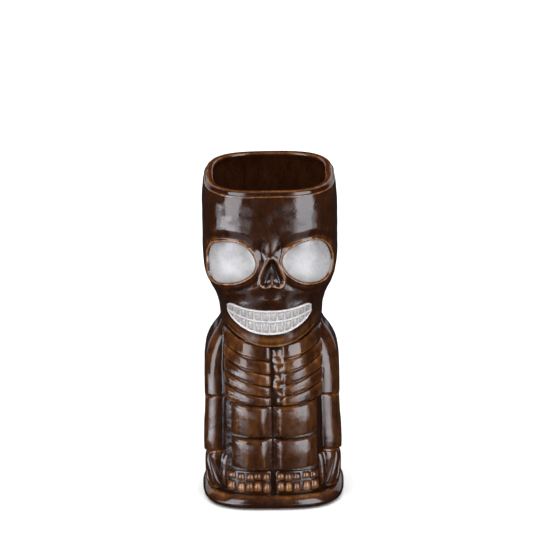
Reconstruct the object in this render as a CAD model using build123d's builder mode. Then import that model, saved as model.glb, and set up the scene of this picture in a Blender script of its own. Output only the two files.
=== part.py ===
from build123d import *

import math
import os

# Ceramic tiki mug in the shape of a skeleton: a hollow skull on a ribbed body, on a rolled plinth.
# Millimetres, +Z up, origin under the middle of the foot ring, with the face looking along -Y.
# "left" is the side at -X and "right" the side at +X, as somebody who faces the mug sees them.

# ---- Driving sizes ---------------------------------------------------------------------------
HEIGHT = 180.0
WALL = 3.6
FLOOR_TOP = 5.5
FLOOR_HALF = 33.2  # half width of the skin, and so of the hollow before the wall, at the floor
BRIM_HALF = 33.6  # the same just above the brim, where the hollow leaves the cup
CHIN_Z = 92.0  # joint between the torso and the skull
FOOT_HEIGHT = 1.5
FOOT_HALF = 35.0
FOOT_HOLLOW = 30.6
PLINTH_TOP = 7.2
PLINTH_HALF = 38.1
PLINTH_ROLL = 2.7
BASE_DEEPER = 1.5  # plinth and foot ring are this much deeper, each way, than they are wide
STRAIGHT = 10.0  # half of the flat stretch along each side of the squarish plan
DEEPER = 0.8  # the cup's plan is this much deeper, each way, than it is wide
REACH = 60.0  # longer than half of anything here

# Half width of the cup's skin at each height.
TORSO_PROFILE = [(FOOT_HEIGHT, 33.4), (45.0, 32.0), (75.0, 31.2), (88.0, 29.8), (CHIN_Z, 29.0)]
SKULL_PROFILE = [(CHIN_Z, 29.0), (98.0, 28.2), (106.5, 28.3), (114.0, 30.2), (120.5, 33.4), (127.0, 36.0),
                 (135.0, 36.7), (166.0, 36.7), (177.6, 35.4), (HEIGHT, 33.9)]

# Relief, measured out from the skin below it.
EYE_POCKET = 1.6
EYE_PROUD = -0.3
NOSE_PROUD = 0.6
SEPTUM_PROUD = 0.2
RIB_PROUD = 1.9
STERNUM_PROUD = 2.2
LEG_PROUD = 2.2
FOOT_PROUD = 1.6
TOE_PROUD = 3.2
FINGER_PROUD = 3.0
BACK_PROUD = 1.7

# Muzzle: the block of both jaws in front of the neck.
MUZZLE_HALF = 28.0
MUZZLE_FRONT = 36.6
MUZZLE_CORNER = 20.0
MUZZLE_TOP = 123.5
MUZZLE_SIDE_Z = 103.0
JAW_JOINT_Z = 109.0
MOUTH_POCKET = 1.0
MOUTH_FRAME_PROUD = 0.6
TEETH_PROUD = 0.2

# Outlines in the front view, x and z. The sockets are modelled by hand, so the two differ a little.
EYES = {
    "left": [(-34.0, 128.6), (-34.1, 149.6), (-22.0, 153.0), (-12.0, 151.6), (-7.2, 141.0), (-13.0, 131.4)],
    "right": [(33.4, 129.6), (34.1, 148.6), (21.5, 155.0), (11.0, 151.4), (6.4, 141.6), (12.5, 131.0)],
}
EYE_CORNER = 3.6
NOSE = [(1.2, 146.0), (9.2, 130.6), (6.0, 124.6), (1.2, 127.0), (-3.6, 124.6), (-6.8, 130.6)]
NOSE_CORNER = 1.6
NOSE_RIM = 1.2
SEPTUM = [(0.2, 129.2), (2.2, 129.2), (1.55, 135.0), (0.85, 135.0)]
MOUTH_HALF = 23.2
MOUTH_CORNER_Z = 116.4
MOUTH_SIDE_Z = 109.6
MOUTH_TOP_Z = 114.0
MOUTH_LOW_Z = 98.4
MOUTH_BORDER = 0.8
MOUTH_SEAM_Z = 106.8
SEAM_RISE = 3.0
TEETH_ACROSS = 12
TOOTH_GAP = 0.65
TOOTH_NARROWING = 0.18
ROOT_REACH = 15.0  # the teeth are drawn this far from the seam and trimmed to the gums

# Each rib: lower and upper height beside the breastbone, and how far each edge rises to the arm.
RIBS = [(84.0, 91.0, 6.4, 5.0), (76.2, 82.6, 8.0, 7.0), (69.4, 75.0, 8.2, 8.2), (63.4, 68.2, 6.6, 8.2),
        (58.6, 62.2, 3.6, 6.6)]
RIB_INNER = {"left": 1.2, "right": 8.4}
RIB_OUTER = 27.0
RIB_BEND = 0.36  # share of the rise that is left after half of the way out
STERNUM_KNOBS = [(2.4, 88.4), (3.2, 82.0), (4.0, 75.6), (4.6, 69.2), (5.2, 63.4)]
KNOB_RADIUS = 2.3
STERNUM_STEM = 1.3

LEG_INNER = 1.1
LEG_OUTER = 23.6
THIGH = (40.6, 57.2)
SHIN = (21.8, 39.2)
LEG_CORNER = 2.2
ANKLE_GAP = 0.8  # between the foot and the shin
FOOT_CORNER = 1.0
HEEL_GAP = 1.5  # between the plinth and the calf
TOES = 5
TOE_FIRST_X = 3.6
TOE_PITCH = 4.5
TOE_WIDTH = 4.0
TOE_JOINTS = [(9.6, 14.9), (15.5, 19.2)]
TOE_CORNER = 1.5

# Arms: plan of the block beside the cup, and front-view outlines.
ARM_INNER = 20.0
ARM_BACK = 13.0
UPPER_ARM_FRONT = -25.0
FOREARM_FRONT = -26.2
ARM_CORNER = 6.0
ARM_MARGIN = 0.4  # the plan stands this far outside the front-view outline, which trims it
UPPER_ARM = [(ARM_INNER, 58.6), (36.2, 58.6), (36.0, 82.0), (33.2, 91.0), (27.6, 97.5), (ARM_INNER, 99.0)]
FOREARM = [(ARM_INNER, 28.6), (37.6, 28.6), (36.4, 57.2), (ARM_INNER, 57.2)]
HAND = [(ARM_INNER, 16.6), (36.4, 16.6), (36.6, 27.4), (ARM_INNER, 27.4)]
HAND_FRONT = -25.8
HAND_BACK = 5.0
FINGER_ZS = (7.2, 16.2)
FINGERS = 4
FINGER_FIRST_ANGLE = 43.0
FINGER_STEP = 9.6
FINGER_SPREAD = 8.2

VERTEBRAE = 7
VERTEBRA_LOW_Z = 58.6
VERTEBRA_PITCH = 4.5
VERTEBRA_HALF = 3.0
VERTEBRA_CORNER = 1.4
BACK_RIB_LOW_ZS = [60.0, 66.4, 72.8]
BACK_RIB_HEIGHT = 4.6
BACK_RIB_RISE = 1.8
BACK_RIB_INNER = 4.0
BACK_RIB_OUTER = 23.5
BLADE = [(5.5, 93.6), (21.0, 92.6), (16.5, 80.6), (7.0, 82.4)]
BLADE_CORNER = 2.0

SIDES = {"left": -1, "right": 1}


# ---- Skins -----------------------------------------------------------------------------------
def skin(profile, grow=0.0):
    """A squarish solid of tapering tiers: half widths at heights, moved out by grow."""
    with BuildPart() as tiers:
        for (low, low_half), (high, high_half) in zip(profile, profile[1:]):
            half = low_half + grow
            lean = math.degrees(math.atan2(low_half - high_half, high - low))
            with BuildSketch(Plane.XY.offset(low)):
                RectangleRounded(2 * half, 2 * (half + DEEPER), half - STRAIGHT)
            extrude(amount=high - low, taper=lean)
    return tiers.part


def layer(profile, outer, inner=0.0):
    """The shell between two skins of one profile."""
    with BuildPart() as shell:
        add(skin(profile, outer))
        add(skin(profile, inner), mode=Mode.SUBTRACT)
    return shell.part


def muzzle_skin(grow):
    """The muzzle's plan, drawn straight up past both of its ends."""
    with BuildPart() as block:
        with BuildSketch(Plane.XY.offset(CHIN_Z - 2)):
            RectangleRounded(2 * (MUZZLE_HALF + grow), 2 * (MUZZLE_FRONT + grow), MUZZLE_CORNER + grow)
        extrude(amount=MUZZLE_TOP + 2 - CHIN_Z)
    return block.part


def muzzle_layer(outer, inner):
    """The shell between two muzzle skins."""
    with BuildPart() as shell:
        add(muzzle_skin(outer))
        add(muzzle_skin(inner), mode=Mode.SUBTRACT)
    return shell.part


def relief(outline, shell, toward=-1):
    """What a shell has over an outline in the front view, on the front (-1) or the back (1)."""
    with BuildPart() as block:
        with BuildSketch(Plane.XZ):
            add(outline)
        extrude(amount=-toward * REACH)
        add(shell, mode=Mode.INTERSECT)
    return block.part


def outline_of(points, corner):
    """A polygon with rounded corners."""
    with BuildSketch() as shape:
        with BuildLine():
            Polyline(*points, close=True)
        make_face()
        fillet(shape.vertices(), corner)
    return shape.sketch


def inset(outline, distance):
    """An outline moved in by a distance."""
    with BuildSketch() as shape:
        add(outline)
        offset(amount=-distance, kind=Kind.INTERSECTION)
    return shape.sketch


# ---- Cup -------------------------------------------------------------------------------------
torso_hollow = [(FLOOR_TOP, FLOOR_HALF)] + TORSO_PROFILE[1:]
skull_hollow = SKULL_PROFILE[:-1] + [(HEIGHT + 1, BRIM_HALF)]

with BuildPart() as torso:
    add(skin(TORSO_PROFILE))
    add(skin(torso_hollow, -WALL), mode=Mode.SUBTRACT)
torso.part.label = "torso"

socket_layer = layer(SKULL_PROFILE, 1.0, -EYE_POCKET)
eye_outlines = {side: outline_of(EYES[side], EYE_CORNER) for side in SIDES}
nose_outline = outline_of(NOSE, NOSE_CORNER)
nostril_outline = inset(nose_outline, NOSE_RIM)

with BuildSketch() as mouth_outline:
    with BuildLine():
        mouth_top = ThreePointArc((-MOUTH_HALF, MOUTH_CORNER_Z), (0, MOUTH_TOP_Z),
                                  (MOUTH_HALF, MOUTH_CORNER_Z))
        mouth_low = ThreePointArc((-MOUTH_HALF, MOUTH_SIDE_Z), (0, MOUTH_LOW_Z), (MOUTH_HALF, MOUTH_SIDE_Z))
        Line(mouth_top @ 0, mouth_low @ 0)
        Line(mouth_top @ 1, mouth_low @ 1)
    make_face()
lips = mouth_outline.sketch
gums = inset(lips, MOUTH_BORDER)
mouth_pocket = relief(lips, muzzle_layer(1.0, -MOUTH_POCKET))

with BuildPart() as skull:
    add(skin(SKULL_PROFILE))
    add(skin(skull_hollow, -WALL), mode=Mode.SUBTRACT)
    for outline in [*eye_outlines.values(), nostril_outline]:
        add(relief(outline, socket_layer), mode=Mode.SUBTRACT)
    add(mouth_pocket, mode=Mode.SUBTRACT)
skull.part.label = "skull"

# ---- Face ------------------------------------------------------------------------------------
with BuildPart() as left_eye:
    add(relief(eye_outlines["left"], layer(SKULL_PROFILE, EYE_PROUD, -EYE_POCKET)))
left_eye.part.label = "left_eye"

with BuildPart() as right_eye:
    add(relief(eye_outlines["right"], layer(SKULL_PROFILE, EYE_PROUD, -EYE_POCKET)))
right_eye.part.label = "right_eye"

with BuildSketch() as nose_ring:
    add(nose_outline)
    add(nostril_outline, mode=Mode.SUBTRACT)

with BuildPart() as nose_rim:
    add(relief(nose_ring.sketch, layer(SKULL_PROFILE, NOSE_PROUD)))
nose_rim.part.label = "nose_rim"

with BuildSketch() as septum_outline:
    with BuildLine():
        Polyline(*SEPTUM, close=True)
    make_face()

with BuildPart() as nose_septum:
    add(relief(septum_outline.sketch, layer(SKULL_PROFILE, SEPTUM_PROUD, -EYE_POCKET)))
nose_septum.part.label = "nose_septum"

# ---- Mouth and jaws --------------------------------------------------------------------------


def seam_z(x):
    """Height of the line where the two rows of teeth meet."""
    return MOUTH_SEAM_Z + SEAM_RISE * (x / MOUTH_HALF) ** 2


def tooth_row(up):
    """The teeth above (1) or below (-1) the seam, narrower towards the corners of the mouth."""
    stops = [2 * i / TEETH_ACROSS - 1 for i in range(TEETH_ACROSS + 1)]
    edges = [MOUTH_HALF * stop * (1 + TOOTH_NARROWING * (1 - abs(stop))) for stop in stops]
    with BuildSketch() as row:
        for start, end in zip(edges, edges[1:]):
            near = start + TOOTH_GAP / 2
            far = end - TOOTH_GAP / 2
            root_z = MOUTH_SEAM_Z + ROOT_REACH * up
            with BuildLine():
                Polyline((near, seam_z(near) + up * TOOTH_GAP / 2), (far, seam_z(far) + up * TOOTH_GAP / 2),
                         (far, root_z), (near, root_z), close=True)
            make_face()
        add(gums, mode=Mode.INTERSECT)
    return row.sketch


upper_row = tooth_row(1)
lower_row = tooth_row(-1)
teeth_layer = muzzle_layer(TEETH_PROUD, -MOUTH_POCKET)

with BuildPart() as upper_teeth:
    add(relief(upper_row, teeth_layer))
upper_teeth.part.label = "upper_teeth"

with BuildPart() as lower_teeth:
    add(relief(lower_row, teeth_layer))
lower_teeth.part.label = "lower_teeth"

with BuildSketch() as grid_outline:
    add(lips)
    add(upper_row, mode=Mode.SUBTRACT)
    add(lower_row, mode=Mode.SUBTRACT)

with BuildPart() as mouth_frame:
    add(relief(grid_outline.sketch, muzzle_layer(MOUTH_FRAME_PROUD, -MOUTH_POCKET)))
mouth_frame.part.label = "mouth_frame"

with BuildSketch() as muzzle_outline:
    with BuildLine():
        chin = ThreePointArc((-MUZZLE_HALF, MUZZLE_SIDE_Z), (0, CHIN_Z), (MUZZLE_HALF, MUZZLE_SIDE_Z))
        Polyline(chin @ 0, (-MUZZLE_HALF, MUZZLE_TOP), (MUZZLE_HALF, MUZZLE_TOP), chin @ 1)
    make_face()

with BuildPart() as muzzle:
    add(relief(muzzle_outline.sketch, muzzle_skin(0.0)))
    add(skin(SKULL_PROFILE), mode=Mode.SUBTRACT)
    add(mouth_pocket, mode=Mode.SUBTRACT)
    add(nose_rim.part, mode=Mode.SUBTRACT)

with BuildPart() as upper_jaw:
    add(muzzle.part)
    split(bisect_by=Plane.XY.offset(JAW_JOINT_Z), keep=Keep.TOP)
upper_jaw.part.label = "upper_jaw"

with BuildPart() as lower_jaw:
    add(muzzle.part)
    split(bisect_by=Plane.XY.offset(JAW_JOINT_Z), keep=Keep.BOTTOM)
lower_jaw.part.label = "lower_jaw"


# ---- Arms and hands --------------------------------------------------------------------------
def arm_block(side, points, front, back=ARM_BACK):
    """A limb that hugs the cup: rounded in plan and cut to an outline in the front view."""
    sign = SIDES[side]
    outer = max(x for x, z in points) + ARM_MARGIN
    with BuildPart() as block:
        with BuildSketch():
            with Locations((sign * (ARM_INNER + outer) / 2, (front + back) / 2)):
                RectangleRounded(outer - ARM_INNER, back - front, ARM_CORNER)
        extrude(amount=HEIGHT)
        with BuildSketch(Plane.XZ):
            with BuildLine():
                Polyline(*[(sign * x, z) for x, z in points], close=True)
            make_face()
        extrude(amount=REACH, both=True, mode=Mode.INTERSECT)
        add(skin(TORSO_PROFILE), mode=Mode.SUBTRACT)
        add(skin(SKULL_PROFILE), mode=Mode.SUBTRACT)
    return block.part


def finger_group(side):
    """Four fingers side by side round the corner of the cup, pointing down."""
    with BuildPart() as group:
        with BuildSketch(Plane.XY.offset(FINGER_ZS[0])):
            for finger in range(FINGERS):
                start = math.radians(FINGER_FIRST_ANGLE - finger * FINGER_STEP)
                end = start - math.radians(FINGER_SPREAD)
                with BuildLine():
                    Polyline((0, 0),
                             (SIDES[side] * REACH * math.cos(start), -REACH * math.sin(start)),
                             (SIDES[side] * REACH * math.cos(end), -REACH * math.sin(end)), close=True)
                make_face()
        extrude(amount=FINGER_ZS[1] - FINGER_ZS[0])
        add(layer(TORSO_PROFILE, FINGER_PROUD), mode=Mode.INTERSECT)
    return group.part


# ---- Ribs ------------------------------------------------------------------------------------
rib_layer = layer(TORSO_PROFILE, RIB_PROUD)


def rib_outline(side, low, high, low_rise, high_rise):
    """A band that climbs from the breastbone to the arm."""
    sign = SIDES[side]
    inner = RIB_INNER[side]
    middle = (inner + RIB_OUTER) / 2
    with BuildSketch() as band:
        with BuildLine():
            lower = ThreePointArc((sign * inner, low), (sign * middle, low + RIB_BEND * low_rise),
                                  (sign * RIB_OUTER, low + low_rise))
            upper = ThreePointArc((sign * inner, high), (sign * middle, high + RIB_BEND * high_rise),
                                  (sign * RIB_OUTER, high + high_rise))
            Line(lower @ 0, upper @ 0)
            Line(lower @ 1, upper @ 1)
        make_face()
    return band.sketch


def rib(side, number, arm):
    """One rib, cut back to the arm beside it."""
    with BuildPart() as band:
        add(relief(rib_outline(side, *RIBS[number - 1]), rib_layer))
        add(arm, mode=Mode.SUBTRACT)
        add(muzzle.part, mode=Mode.SUBTRACT)
    return band.part


with BuildSketch() as sternum_outline:
    with Locations(*STERNUM_KNOBS):
        Circle(KNOB_RADIUS)
    for (low_x, low_z), (high_x, high_z) in zip(STERNUM_KNOBS, STERNUM_KNOBS[1:]):
        with BuildLine():
            Polyline((low_x - STERNUM_STEM, low_z), (low_x + STERNUM_STEM, low_z),
                     (high_x + STERNUM_STEM, high_z), (high_x - STERNUM_STEM, high_z), close=True)
        make_face()

with BuildPart() as sternum:
    add(relief(sternum_outline.sketch, layer(TORSO_PROFILE, STERNUM_PROUD)))
sternum.part.label = "sternum"


# ---- Legs, feet and back ---------------------------------------------------------------------
def block_outline(side, low, high, corner=LEG_CORNER):
    """A rounded rectangle on one side of the middle."""
    with BuildSketch() as block:
        with Locations((SIDES[side] * (LEG_INNER + LEG_OUTER) / 2, (low + high) / 2)):
            RectangleRounded(LEG_OUTER - LEG_INNER, high - low, corner)
    return block.sketch


def toes_outline(side):
    """Two rows of rounded joints, five toes across."""
    with BuildSketch() as joints:
        for low, high in TOE_JOINTS:
            for toe in range(TOES):
                with Locations((SIDES[side] * (TOE_FIRST_X + toe * TOE_PITCH), (low + high) / 2)):
                    RectangleRounded(TOE_WIDTH, high - low, TOE_CORNER)
    return joints.sketch


def back_ribs_outline(side):
    """Three ribs across the back."""
    sign = SIDES[side]
    middle = (BACK_RIB_INNER + BACK_RIB_OUTER) / 2
    with BuildSketch() as ribs:
        for low in BACK_RIB_LOW_ZS:
            high = low + BACK_RIB_HEIGHT
            with BuildLine():
                lower = ThreePointArc((sign * BACK_RIB_INNER, low), (sign * middle, low + BACK_RIB_RISE),
                                      (sign * BACK_RIB_OUTER, low + BACK_RIB_RISE / 2))
                upper = ThreePointArc((sign * BACK_RIB_INNER, high), (sign * middle, high + BACK_RIB_RISE),
                                      (sign * BACK_RIB_OUTER, high + BACK_RIB_RISE / 2))
                Line(lower @ 0, upper @ 0)
                Line(lower @ 1, upper @ 1)
            make_face()
    return ribs.sketch


leg_layer = layer(TORSO_PROFILE, LEG_PROUD)
foot_layer = layer(TORSO_PROFILE, FOOT_PROUD)
toe_layer = layer(TORSO_PROFILE, TOE_PROUD, FOOT_PROUD)
back_layer = layer(TORSO_PROFILE, BACK_PROUD)

with BuildSketch() as spine_outline:
    for number in range(VERTEBRAE):
        with Locations((0, VERTEBRA_LOW_Z + VERTEBRA_PITCH * (number + 0.5))):
            RectangleRounded(2 * VERTEBRA_HALF, VERTEBRA_PITCH - 0.5, VERTEBRA_CORNER)

with BuildPart() as spine:
    add(relief(spine_outline.sketch, back_layer, 1))
spine.part.label = "spine"

# ---- Base ------------------------------------------------------------------------------------
with BuildPart() as plinth:
    with BuildSketch(Plane.XY.offset(FOOT_HEIGHT)):
        RectangleRounded(2 * PLINTH_HALF, 2 * (PLINTH_HALF + BASE_DEEPER), PLINTH_HALF - STRAIGHT)
    extrude(amount=PLINTH_TOP - FOOT_HEIGHT)
    fillet(plinth.faces().filter_by(Axis.Z).edges(), PLINTH_ROLL)
    add(skin(TORSO_PROFILE), mode=Mode.SUBTRACT)
plinth.part.label = "plinth"

with BuildPart() as foot_ring:
    with BuildSketch():
        RectangleRounded(2 * FOOT_HALF, 2 * (FOOT_HALF + BASE_DEEPER), FOOT_HALF - STRAIGHT)
        RectangleRounded(2 * FOOT_HOLLOW, 2 * (FOOT_HOLLOW + BASE_DEEPER), FOOT_HOLLOW - STRAIGHT,
                         mode=Mode.SUBTRACT)
    extrude(amount=FOOT_HEIGHT)
foot_ring.part.label = "foot_ring"

pieces = [torso, skull, left_eye, right_eye, nose_rim, nose_septum, upper_teeth, lower_teeth, mouth_frame,
          upper_jaw, lower_jaw, sternum, spine, plinth, foot_ring]
finished = [piece.part for piece in pieces]

for side in SIDES:
    upper_arm = arm_block(side, UPPER_ARM, UPPER_ARM_FRONT)
    forearm = arm_block(side, FOREARM, FOREARM_FRONT)
    hand = arm_block(side, HAND, HAND_FRONT, HAND_BACK)
    limbs = {
        "upper_arm": upper_arm,
        "forearm": forearm,
        "hand": hand,
        "fingers": finger_group(side),
        "thigh": relief(block_outline(side, *THIGH), leg_layer),
        "shin": relief(block_outline(side, *SHIN), leg_layer),
        "foot": relief(block_outline(side, PLINTH_TOP, SHIN[0] - ANKLE_GAP, FOOT_CORNER), foot_layer),
        "toes": relief(toes_outline(side), toe_layer),
        "shoulder_blade": relief(outline_of([(SIDES[side] * x, z) for x, z in BLADE], BLADE_CORNER),
                                 layer(TORSO_PROFILE + SKULL_PROFILE[1:3], BACK_PROUD), 1),
        "back_ribs": relief(back_ribs_outline(side), back_layer, 1),
        "hamstring": relief(block_outline(side, *THIGH), back_layer, 1),
        "calf": relief(block_outline(side, PLINTH_TOP + HEEL_GAP, SHIN[1]), back_layer, 1),
    }
    for number in range(1, len(RIBS) + 1):
        limbs[f"rib_{number}"] = rib(side, number, upper_arm)
    for name, part in limbs.items():
        part.label = f"{side}_{name}"
        finished.append(part)

os.makedirs("parts", exist_ok=True)
for part in finished:
    export_step(part, f"parts/{part.label}.step")
    print(part.label, len(part.solids()), round(part.volume, 1))
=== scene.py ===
import math

import bpy
import numpy as np
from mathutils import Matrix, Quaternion, Vector


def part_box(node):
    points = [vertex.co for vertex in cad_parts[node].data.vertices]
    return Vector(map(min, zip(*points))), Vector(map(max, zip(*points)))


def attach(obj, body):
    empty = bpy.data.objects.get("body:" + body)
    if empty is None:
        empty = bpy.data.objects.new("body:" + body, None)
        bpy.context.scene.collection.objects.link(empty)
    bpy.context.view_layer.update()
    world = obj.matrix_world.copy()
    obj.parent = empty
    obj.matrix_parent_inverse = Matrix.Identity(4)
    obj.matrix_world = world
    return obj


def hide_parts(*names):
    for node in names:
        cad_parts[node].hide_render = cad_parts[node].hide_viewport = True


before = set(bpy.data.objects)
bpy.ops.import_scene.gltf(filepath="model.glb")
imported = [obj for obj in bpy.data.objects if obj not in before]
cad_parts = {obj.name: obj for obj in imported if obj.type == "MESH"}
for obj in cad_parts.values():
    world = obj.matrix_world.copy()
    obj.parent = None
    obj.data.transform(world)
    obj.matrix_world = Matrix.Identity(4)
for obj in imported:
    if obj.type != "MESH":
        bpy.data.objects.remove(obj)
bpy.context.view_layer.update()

# Shapes are worked out in millimetres and written to Blender in metres.
# The face looks along -Y; "left" is the side at -X. A point on the cup has a plan angle (0 at +X, -90 at the
# front) or, on the front, an x, and a height z. Relief is measured out from the cup's skin.
MM = 0.001
SIDES = {"left": -1, "right": 1}


def node_box(node):
    """A CAD node's lowest and highest corner, in millimetres."""
    low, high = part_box(node)
    return np.array(low) / MM, np.array(high) / MM


skull_low, skull_high = node_box("skull")
plinth_low, plinth_high = node_box("plinth")
RIM_Z = skull_high[2]
SKULL_FOOT = skull_low[2] - 3.5  # the skull's mesh runs on down into the torso
WALL = 3.6


# ---- Curves ----
def smooth_curve(knots):
    """A smooth function through (place, value...) rows that doesn't overshoot them."""
    table = np.array(knots, float)
    t, v = table[:, 0], table[:, 1:]
    steps = np.diff(t)[:, None]
    slopes = np.diff(v, axis=0) / steps
    inner = np.where(slopes[:-1] * slopes[1:] > 0,
                     2 * slopes[:-1] * slopes[1:] / (slopes[:-1] + slopes[1:] + 1e-12), 0)
    tangents = np.vstack([slopes[:1], inner, slopes[-1:]])

    def at(x):
        x = np.clip(x, t[0], t[-1])
        i = np.clip(np.searchsorted(t, x, side="right") - 1, 0, len(t) - 2)
        h = (t[i + 1] - t[i])[..., None]
        u = ((x - t[i]) / (t[i + 1] - t[i]))[..., None]
        value = ((1 + 2 * u) * (1 - u) ** 2 * v[i] + u * (1 - u) ** 2 * h * tangents[i]
                 + u * u * (3 - 2 * u) * v[i + 1] + u * u * (u - 1) * h * tangents[i + 1])
        return np.moveaxis(value, -1, 0)

    return at


def step(low, high, x):
    """0 below low, 1 above high, smooth between."""
    t = np.clip((x - low) / (high - low), 0, 1)
    return t * t * (3 - 2 * t)


def bell(x, centre, width):
    """A smooth bump of height 1."""
    return np.exp(-((x - centre) / width) ** 2)


def loop_through(points, per_span=14):
    """A smooth closed curve through given points."""
    p = np.array(points, float)
    before, after, later = np.roll(p, 1, 0), np.roll(p, -1, 0), np.roll(p, -2, 0)
    u = np.linspace(0, 1, per_span, endpoint=False)[:, None]
    spans = [0.5 * (2 * b + (c - a) * u + (2 * a - 5 * b + 4 * c - d) * u ** 2
                    + (3 * b - a - 3 * c + d) * u ** 3) for a, b, c, d in zip(before, p, after, later)]
    return np.vstack(spans)


def signed_distance(x, z, loop):
    """Distance to a closed curve in the front view, negative inside it."""
    nearest = np.full(x.shape, 1e9)
    inside = np.zeros(x.shape, bool)
    for (x0, z0), (x1, z1) in zip(loop, np.roll(loop, -1, 0)):
        dx, dz = x1 - x0, z1 - z0
        t = np.clip(((x - x0) * dx + (z - z0) * dz) / (dx * dx + dz * dz + 1e-12), 0, 1)
        nearest = np.minimum(nearest, np.hypot(x - x0 - t * dx, z - z0 - t * dz))
        crosses = (z0 > z) != (z1 > z)
        inside ^= crosses & (x < x0 + dx * (z - z0) / np.where(dz == 0, 1e-9, dz))
    return np.where(inside, -nearest, nearest)


def ripple(x, y, z):
    """Gentle unevenness of a surface made by hand, in millimetres."""
    return (0.10 * np.sin(x / 5.3 + z / 8.1 + 0.7) * np.sin(z / 6.7 - y / 9.0 + 1.9)
            + 0.07 * np.sin(x / 3.1 - z / 4.9 + 2.2) * np.sin(y / 4.3 + z / 3.7)
            + 0.05 * np.sin(x / 1.9 + z / 2.6) * np.sin(z / 2.2 - x / 3.3 + y / 2.9))


# ---- Plan of the cup ----
# Height, half width, depth to the front, depth to the back, squareness.
FACE = smooth_curve([
    (84, 27.6, 34.6, 28.6, 2.3), (92, 27.6, 35, 28.4, 2.3), (98, 27.4, 35.4, 28.4, 2.3),
    (107.5, 28, 36, 28.8, 2.35), (114, 29.5, 36.4, 30.2, 2.5), (119, 31.7, 36.7, 32.4, 2.6),
    (123, 33.7, 36.9, 34.4, 2.8), (128, 35.4, 37.1, 36.1, 3), (135, 36.1, 37.3, 36.9, 3),
    (146, 36.3, 37.2, 37.2, 3), (164, 36.3, 36.9, 36.9, 3), (172, 35.8, 36.5, 36.5, 3),
    (177, 35, 35.8, 35.8, 3), (180, 33.8, 34.7, 34.7, 3)])
NECK = smooth_curve([
    (84, 27, 29.6, 28, 2.3), (92, 26.8, 30, 27.6, 2.3), (104, 27.4, 33, 28.4, 2.35),
    (114, 29.5, 36, 30.2, 2.5)])
BODY = smooth_curve([
    (1.5, 33.2, 33.6, 33.6, 3), (8, 33.2, 33.8, 33.6, 3), (21, 32.8, 33.5, 33.2, 3),
    (45, 32, 33, 32.6, 3), (62, 31.6, 32.8, 32, 2.9), (75, 31.2, 32.6, 31.4, 2.8),
    (86, 29.4, 32, 30, 2.5), (92, 27.6, 31, 28.6, 2.35), (98, 26.4, 29.6, 27.4, 2.3)])


FULL_WIDTH = 0.9995  # an x past this share of the half width counts as the side


def plan_radius(section, angle, z):
    """Distance from the axis to the skin at a plan angle."""
    half, front, back, square = section(z)
    c, s = np.abs(np.cos(angle)), np.abs(np.sin(angle))
    deep = np.where(np.sin(angle) < 0, front, back)
    return ((c / half) ** square + (s / deep) ** square) ** (-1 / square)


def angle_at(section, x, z, back=False):
    """Plan angle of the skin at a given x, on the front or the back."""
    half, to_front, to_back, square = section(z)
    share = np.clip(np.abs(x) / half, 0, FULL_WIDTH)
    y = (to_back if back else -to_front) * (1 - share ** square) ** (1 / square)
    return np.arctan2(y, x)


def polar(radius, angle, z):
    """Points at a radius, a plan angle and a height."""
    return np.stack([radius * np.cos(angle), radius * np.sin(angle), z + 0 * angle], -1)


def skin_point(section, angle, z, out=0.0):
    """Points on the skin, moved out along the plan normal."""
    def on_skin(turn):
        return polar(plan_radius(section, angle + turn, z), angle + turn, z)

    tx, ty, level = np.moveaxis(on_skin(1e-3) - on_skin(-1e-3), -1, 0)
    size = np.hypot(tx, ty)
    return on_skin(0) + np.stack([out * ty / size, -out * tx / size, level], -1)


# ---- Meshes ----
def blur(grid, passes, wrap):
    """Repeated light averaging along both ways of a grid of points."""
    for _ in range(passes):
        side = np.pad(grid, ((0, 0), (1, 1), (0, 0)), "wrap" if wrap else "edge")
        grid = (side[:, :-2] + 2 * grid + side[:, 2:]) / 4
        ends = np.pad(grid, ((1, 1), (0, 0), (0, 0)), "edge")
        grid = (ends[:-2] + 2 * grid + ends[2:]) / 4
    return grid


def grid_normals(grid, wrap):
    """Unit normals of a grid of points."""
    across = (np.roll(grid, -1, 1) - np.roll(grid, 1, 1)) if wrap else np.gradient(grid, axis=1)
    normals = np.cross(across, np.gradient(grid, axis=0))
    return normals / (np.linalg.norm(normals, axis=-1, keepdims=True) + 1e-12)


def ridge_map(grid, wrap=False, passes=10, full=0.10):
    """Where a grid is convex (towards 1) or hollow (towards -1) at the scale of a glaze edge."""
    lift = ((grid - blur(grid, passes, wrap)) * grid_normals(grid, wrap)).sum(-1)
    return np.clip(lift / full, -1, 1)


def grid_faces(rows, columns, wrap, offset=0, flip=False):
    """Quads of a grid of rows by columns."""
    r, c = np.meshgrid(np.arange(rows - 1), np.arange(columns if wrap else columns - 1), indexing="ij")
    a = r * columns + c
    b = r * columns + (c + 1) % columns
    quads = np.stack([a, b, b + columns, a + columns], -1).reshape(-1, 4) + offset
    return quads[:, ::-1] if flip else quads


def tube_faces(rows, columns, flip=False):
    """Quads of a grid that joins up both ways, so that it closes on itself like a ring."""
    first, last = np.arange(columns), (rows - 1) * columns + np.arange(columns)
    after, last_after = np.roll(first, -1), np.roll(last, -1)
    joint = [first, after, last_after, last] if flip else [first, last, last_after, after]
    return np.concatenate([grid_faces(rows, columns, True, 0, flip), np.stack(joint, -1)])


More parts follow.
